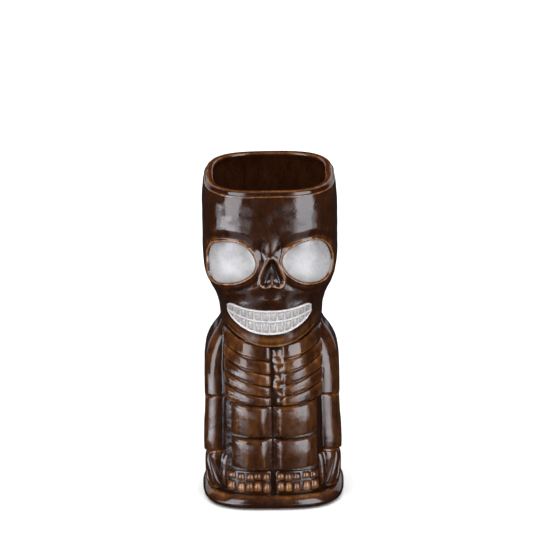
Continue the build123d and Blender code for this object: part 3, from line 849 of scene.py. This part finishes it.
def make_leg(side, part, low, high, tint):
    """One thigh or shin on the front: round across, nearly straight along, with a soft edge at each end."""
    sign = SIDES[side]

    def place(u, v, h):
        across = between(0, LEG_WIDTH, u * sign)
        curve = 1.1 * (across / LEG_WIDTH) ** 2
        top = rise(across / RIB_OUTER) * 3.4 + 0.1 if part == "thigh" else curve
        z = between(low + curve, high + top, v)
        out = np.where(h > 0, h * LEG_SECTION[side](across)[0], h)
        return skin_point(BODY, angle_at(BODY, sign * across * LEG_SHARE[side], z), z, out)

    def crown(u, v):
        return -0.12 * v ** 2 + 0.03 * np.sin(3 * v + 2 * u)

    def shade(u, v):
        clouds = 0.06 * np.sin(2.2 * u + 1.3) + 0.05 * np.cos(2 * v)
        return tint + 0.07 + 0.14 * step(0.78, 0.97, -v) + clouds

    make_pads(f"{side}_{part}", [pad_arrays(place, 80, 90, 1.0, 0.7, (40.0, 7.0), shade, crown, 0.26, 5)])


def make_foot(side):
    """The instep behind the toes."""
    def place(u, v, h):
        return body_point(SIDES[side] * 12.8 + u * 12.0, between(6.4, 21.0, v), h)

    make_pads(f"{side}_foot", [pad_arrays(place, 30, 50, 1.1, 0.9, (3.0, 3.0), 0.07, None, 0.10)])


def make_toes(side):
    """Ten small joints: a row of knuckles over a row of toe tips."""
    sign = SIDES[side]
    pads = []
    for row, (low, high, height) in enumerate(TOE_ROWS):
        for toe in range(5):
            centre = sign * (3.7 + TOE_PITCH * toe + 0.3 * math.sin(toe * 2.1 + row + sign))
            wide = 2.24 + 0.10 * math.sin(toe * 1.7 + sign)
            drop = 0.5 * math.sin(toe * 1.9 + sign + row)

            def place(u, v, h, centre=centre, wide=wide, z0=low + drop, z1=high + 0.4 * drop):
                return body_point(centre + u * wide * (1 - 0.12 * v), between(z0, z1, v), h)

            def tint(u, v, row=row, toe=toe):
                face = np.clip(1.35 - np.hypot(u, v + 0.1) ** 2.2, 0, 1)
                return 0.12 + (0.45 - 0.12 * row + 0.08 * math.sin(2.6 * toe + row)) * face

            pads.append(pad_arrays(place, 22, 18, height, 0.2, (1.25, 1.4), tint, None, 0.08))
    make_pads(f"{side}_toes", pads)


def block_radius(section, angle, z):
    """Distance from the axis to a limb: flat at the side and the front, with a round corner between."""
    outer, front, back, corner = section(z)
    c, s = np.abs(np.cos(angle)), np.abs(np.sin(angle)) + 1e-9
    deep = np.where(np.sin(angle) < 0, front, back)
    across = c * (outer - corner) + s * (deep - corner)
    reach = across ** 2 - (outer - corner) ** 2 - (deep - corner) ** 2 + corner ** 2
    radius = across + np.sqrt(np.clip(reach, 0, None))
    radius = np.where(s * outer / c <= deep - corner, outer / c, radius)
    return np.where(c * deep / s <= outer - corner, deep / s, radius)


LIMB_CORNER = {"left": 0.82, "right": 1.18}  # share of the corner radius that each side's limbs have
LIMB_FRONT, LIMB_BACK = 54, -42  # degrees from the middle of the side to a limb's edges
LIMB_END = 1.5  # length over which a limb rounds off at a joint
LIMB_DROP = 1.0  # how far its surface falls there


def limb_point(section, side, degrees, z, share, out):
    """A point at a share of the way from the body to a limb's surface. 0 degrees is the middle of a side."""
    def own_section(height):
        outer, front, back, corner = section(height)
        return outer, front, back, corner * LIMB_CORNER[side]

    angle = -np.radians(degrees) + 0 * z
    body = plan_radius(BODY, angle, z)
    block = block_radius(own_section, angle, z)
    radius = body + (np.maximum(block, body - 0.4) - body) * share + out
    return polar(radius, angle, z) * (SIDES[side], 1, 1)


def crease(height, climb=0.0):
    """Height of a joint's crease around the arm: it climbs towards the front."""
    return lambda degrees: height + climb * step(4, 42, degrees)


fingertips, wrist, elbow, shoulder = crease(7.6), crease(24.6, 5.2), crease(56.0, 4.6), crease(100.0)


def limb_arrays(section, side, low, high, rows, columns, tint):
    """A limb that hugs the side of the cup from one joint to the next, with rounded ends."""
    t = 0.5 - 0.5 * np.cos(np.linspace(0, math.pi, rows)) * 0.999
    t = np.concatenate([[0.0], t, [1.0]])
    degrees, t = np.meshgrid(np.linspace(LIMB_FRONT, LIMB_BACK, columns)[::SIDES[side]], t)
    z = low(degrees) + (high(degrees) - low(degrees)) * t
    ends = np.minimum(t, 1 - t) * (high(degrees) - low(degrees))
    out = -LIMB_DROP * (1 - np.sqrt(1 - np.clip(1 - ends / LIMB_END, 0, 1) ** 2))
    share = np.ones_like(t)
    share[0] = share[-1] = 0.0
    out[0] = out[-1] = -0.5
    top = limb_point(section, side, degrees, z, share, out)
    under = limb_point(section, side, degrees, z, 0.0, -0.9)
    points, quads = closed_sheet(top, under)
    thin = tint + 0.12 * bell(ends, 0.5, 0.8) + 0.26 * np.clip(ridge_map(top, passes=6), 0, 1)
    return points, quads[:, ::-1], np.concatenate([(thin * share).ravel(), np.zeros(thin.size)])


# Height, outer half width, reach to the front, reach to the back, corner radius.
UPPER_ARM = smooth_curve([
    (55, 36.2, 24.2, 15, 8), (62, 36.4, 23.8, 15.5, 8), (72, 36.4, 22.8, 15.5, 8),
    (81, 35.5, 20.6, 15, 8), (86, 34.2, 18.2, 14, 8), (91.4, 31.4, 14.8, 12.5, 7),
    (95, 28.7, 12, 11, 5.5), (98.3, 27, 9.6, 9, 4), (100, 26, 8, 7, 3.5)])
FOREARM = smooth_curve([
    (23, 36.7, 24.8, 14, 8), (33, 37.2, 24.8, 15, 8), (42, 36.6, 24.6, 15, 8),
    (61, 36, 24, 15, 8)])
HAND = smooth_curve([
    (8, 35.4, 24.6, 6, 7), (15, 35.6, 25, 8, 7), (28, 35.9, 25.4, 10, 7)])
# Of the thumb and three fingers: degrees of both edges at the wrist and at the tip, the tip's z, thickness.
FINGERS = [(49.5, 35, 47.5, 43, 9.6, 1.7), (33.5, 26, 41.5, 34.5, 9.4, 1.1),
           (25, 17, 33, 26, 9.8, 1), (16, 8, 24.5, 17.5, 10.4, 0.9)]


def make_arm(side):
    """Upper arm, forearm, back of the hand and fingers."""
    for part, section, low, high, rows, tint in (("upper_arm", UPPER_ARM, elbow, shoulder, 90, 0.02),
                                                 ("forearm", FOREARM, wrist, elbow, 70, 0.03),
                                                 ("hand", HAND, fingertips, wrist, 40, 0.04)):
        make_pads(f"{side}_{part}", [limb_arrays(section, side, low, high, rows, 90, tint)])
    fingers = []
    for *edges, tip_z, thick in FINGERS:
        def place(u, v, h, edges=edges, tip_z=tip_z):
            ahead, behind, ahead_tip, behind_tip = edges
            first, last = between(ahead_tip, ahead, v), between(behind_tip, behind, v)
            degrees = (first + last) / 2 - SIDES[side] * u * (first - last) / 2
            return limb_point(HAND, side, degrees, between(tip_z, wrist(degrees) - 1.0, v), 1.0, h)

        fingers.append(pad_arrays(place, 50, 22, thick, 0.5, (1.3, 2.2), lambda u, v: 0.10 - 0.05 * v, None,
                                  0.35, 3))
    make_pads(f"{side}_fingers", fingers)


# ---- Back ----
VERTEBRAE = 7
VERTEBRA_PITCH = 4.5
WAIST = 58.6  # lowest z of the spine
BACK_RIBS = (59.8, 66.2, 72.6)  # their lowest z


def back_pad(side_x, z_at, height, rows, columns, bend, tint=0.15, crown=None):
    """A pad on the back between two x, with z_at(x, share) as its heights."""
    x0, x1 = sorted(side_x)

    def place(u, v, h):
        x = (x0 + x1) / 2 - u * (x1 - x0) / 2
        return body_back_point(x, z_at(x, (v + 1) / 2), h)

    return pad_arrays(place, rows, columns, height, 0.8, bend, tint, crown, 0.35)


def make_spine():
    """A column of vertebrae from the waist up."""
    bones = []
    for index in range(VERTEBRAE):
        def bone_z(x, t, low=WAIST + VERTEBRA_PITCH * index):
            return low + 4.3 * t

        bones.append(back_pad((-3.1, 3.1), bone_z, 2.0, 20, 24, (1.3, 1.3)))
    make_pads("spine", bones)


def make_back(side):
    """Back ribs, a shoulder blade and the backs of a thigh and a shin."""
    sign = SIDES[side]
    ribs = []
    for low in BACK_RIBS:
        def rib_z(x, t, low=low):
            share = (np.abs(x) - 3.6) / 21.0
            return low + 5.0 * t + 1.9 * np.sin(np.clip(share, 0, 1) * math.pi * 0.8)

        ribs.append(back_pad((sign * 3.6, sign * 24.5), rib_z, 1.5, 26, 60, (4.0, 1.4)))
    make_pads(f"{side}_back_ribs", ribs)

    def blade_z(x, t):
        off_ridge = np.abs((np.abs(x) - 5.0) / 16.5 - 0.6)
        return 79.6 + 3.0 * off_ridge + t * (13.8 - 2.2 * off_ridge)

    blade = back_pad((sign * 5.0, sign * 21.5), blade_z, 1.6, 40, 40, (1.8, 1.8))
    make_pads(f"{side}_shoulder_blade", [blade])

    def bulge(u, v):
        return 1.0 * (1 - u ** 2) - 0.3

    for part, low, high in (("hamstring", 40.6, 57.4), ("calf", 8.2, 39.4)):
        def leg_z(x, t, low=low, high=high):
            return low + (high - low) * t

        pad = back_pad((sign * 0.7, sign * 24.2), leg_z, 1.5, 56, 56, (3.2, 3.4), 0.12, bulge)
        make_pads(f"{side}_{part}", [pad])


# ---- Stage ----
FLOOR_REACH = 6  # metres, like everything on the stage


def ray_split(tree, seen, other):
    """A colour that the camera sees, and another that lights and reflections get."""
    path = tree.nodes.new("ShaderNodeLightPath")
    mix = tree.nodes.new("ShaderNodeMix")
    mix.data_type = "RGBA"
    mix.inputs[6].default_value = (*other, 1)
    mix.inputs[7].default_value = (*seen, 1)
    tree.links.new(path.outputs["Is Camera Ray"], mix.inputs["Factor"])
    return mix.outputs[2]


def make_floor():
    """A plain pale floor."""
    mesh = bpy.data.meshes.new("floor")
    corners = [(x * FLOOR_REACH, y * FLOOR_REACH, 0) for x, y in ((-1, -1), (1, -1), (1, 1), (-1, 1))]
    mesh.from_pydata(corners, [], [(0, 1, 2, 3)])
    floor = bpy.data.objects.new("floor", mesh)
    bpy.context.scene.collection.objects.link(floor)
    material = bpy.data.materials.new("floor")
    material.use_nodes = True
    tree = material.node_tree
    shader = tree.nodes["Principled BSDF"]
    tree.links.new(ray_split(tree, (0.93, 0.93, 0.93), (0.25, 0.25, 0.25)), shader.inputs["Base Color"])
    shader.inputs["Roughness"].default_value = 0.9
    shader.inputs["Specular IOR Level"].default_value = 0.1
    mesh.materials.append(material)
    floor.visible_glossy = False
    floor.visible_shadow = False


def make_world():
    """White to the camera, dim to everything else."""
    world = bpy.data.worlds.new("studio")
    world.use_nodes = True
    tree = world.node_tree
    colour = ray_split(tree, (1.0, 1.0, 1.0), (0.02, 0.02, 0.023))
    tree.links.new(colour, tree.nodes["Background"].inputs["Color"])
    bpy.context.scene.world = world


def add_light(name, kind, direction, place=(0, 0, 0)):
    """A light at a place that shines against a direction."""
    light = bpy.data.lights.new(name, kind)
    lamp = bpy.data.objects.new(name, light)
    bpy.context.scene.collection.objects.link(lamp)
    lamp.location = place
    lamp.rotation_euler = Vector(direction).to_track_quat("Z", "Y").to_euler()
    return lamp, light


def towards(azimuth_deg, elevation_deg=0.0):
    """Unit vector; azimuth 0 is the camera's side, positive to the right."""
    turn, lift = math.radians(azimuth_deg), math.radians(elevation_deg)
    return Vector((math.sin(turn) * math.cos(lift), -math.cos(turn) * math.cos(lift), math.sin(lift)))


PANEL_DISTANCE = 1.3
PANEL_COLOUR = (0.90, 0.93, 1.0)
SUN_SPREAD = math.radians(80)
# Azimuth of both edges, lowest and highest z, radiance.
PANELS = {
    "softbox_left_floor": (-50, -24, -1.3, -0.43, 0.7),
    "softbox_left_low": (-50, -24, -0.43, -0.40, 1.2),
    "softbox_left_mid": (-54, -24, -0.40, -0.345, 2.5),
    "softbox_left": (-72, -36, -0.337, -0.12, 9),
    "softbox_left_side": (-86, -72, -0.34, -0.12, 4),
    "softbox_left_edge": (-76, -30, -0.345, -0.337, 5),
    "softbox_left_fade": (-36, -22, -0.337, -0.12, 5),
    "softbox_left_high": (-58, -24, -0.12, 1.9, 6),
    "spill_left": (-22, -12, -0.335, -0.12, 1.8),
    "softbox_right_floor": (24, 50, -1.3, -0.43, 0.6),
    "softbox_right_low": (22, 50, -0.43, -0.40, 1.1),
    "softbox_right_mid": (14, 54, -0.40, -0.345, 4.6),
    "softbox_right": (22, 52, -0.345, -0.12, 5.9),
    "softbox_right_side": (52, 64, -0.34, -0.12, 2.8),
    "softbox_right_fade": (13, 22, -0.335, -0.12, 3.6),
    "softbox_right_rim": (6, 13, -0.33, -0.12, 1.5),
    "softbox_right_high": (16, 54, -0.12, 1.9, 6.5),
    "fill_left": (-160, -125, 0, 1.6, 0.8),
    "fill_right": (130, 165, 0, 1.6, 0.8),
}
# Azimuth, elevation and strength.
SUNS = {"soft_left": (-50, 35, 1.85), "soft_right": (45, 35, 1.6), "soft_back": (180, 35, 1.4),
        "soft_top": (0, 90, 2.2)}


def make_lights():
    """Softboxes that show in the gloss, and wide soft lights for everything matt."""
    for name, (start, end, low, high, radiance) in PANELS.items():
        out = towards((start + end) / 2)
        lamp, light = add_light(name, "AREA", out, out * PANEL_DISTANCE + Vector((0, 0, (low + high) / 2)))
        light.shape = "RECTANGLE"
        light.size = 2 * PANEL_DISTANCE * math.tan(math.radians(end - start) / 2)
        light.size_y = high - low
        light.energy = radiance * math.pi * light.size * light.size_y
        light.color = PANEL_COLOUR
        lamp.visible_diffuse = False
    for name, (azimuth, elevation, strength) in SUNS.items():
        lamp, light = add_light(name, "SUN", towards(azimuth, elevation))
        light.energy = strength
        light.angle = SUN_SPREAD
        lamp.visible_glossy = False


VIEW_ELEVATION = math.radians(19.5)
VIEW_DISTANCE = 4.5
VIEW_WIDTH = 0.2867  # across the picture at the mug
SENSOR = 36
VIEW_ROLL = math.radians(-0.83)
AIM = Vector((-0.0021, 0.0, 0.1257))


def make_camera():
    """A long lens in front of the mug, looking a little down."""
    camera = bpy.data.cameras.new("camera")
    camera.sensor_width = SENSOR
    camera.lens = SENSOR * VIEW_DISTANCE / VIEW_WIDTH
    camera.clip_end = 20
    eye = bpy.data.objects.new("camera", camera)
    bpy.context.scene.collection.objects.link(eye)
    back = Vector((0, -math.cos(VIEW_ELEVATION), math.sin(VIEW_ELEVATION)))
    eye.location = AIM + VIEW_DISTANCE * back
    eye.rotation_euler = ((-back).to_track_quat("-Z", "Y") @ Quaternion((0, 0, 1), VIEW_ROLL)).to_euler()
    bpy.context.scene.camera = eye


make_camera()
make_floor()
make_world()
make_lights()
bpy.context.scene.view_settings.view_transform = "Standard"

make_skull()
for eye_side in SIDES:
    make_lens(eye_side)
make_septum()
make_mouth_frame()
make_teeth("upper_teeth", True)
make_teeth("lower_teeth", False)
make_torso()
make_plinth()
make_foot_ring()
make_sternum()
for body_side in SIDES:
    for rib_number in range(1, len(RIBS) + 1):
        make_rib(body_side, rib_number)
    make_leg(body_side, "thigh", 40.2, 57.6, 0.17)
    make_leg(body_side, "shin", 21.4, 39.2, 0.11)
    make_foot(body_side)
    make_toes(body_side)
    make_arm(body_side)
make_spine()
for back_side in SIDES:
    make_back(back_side)
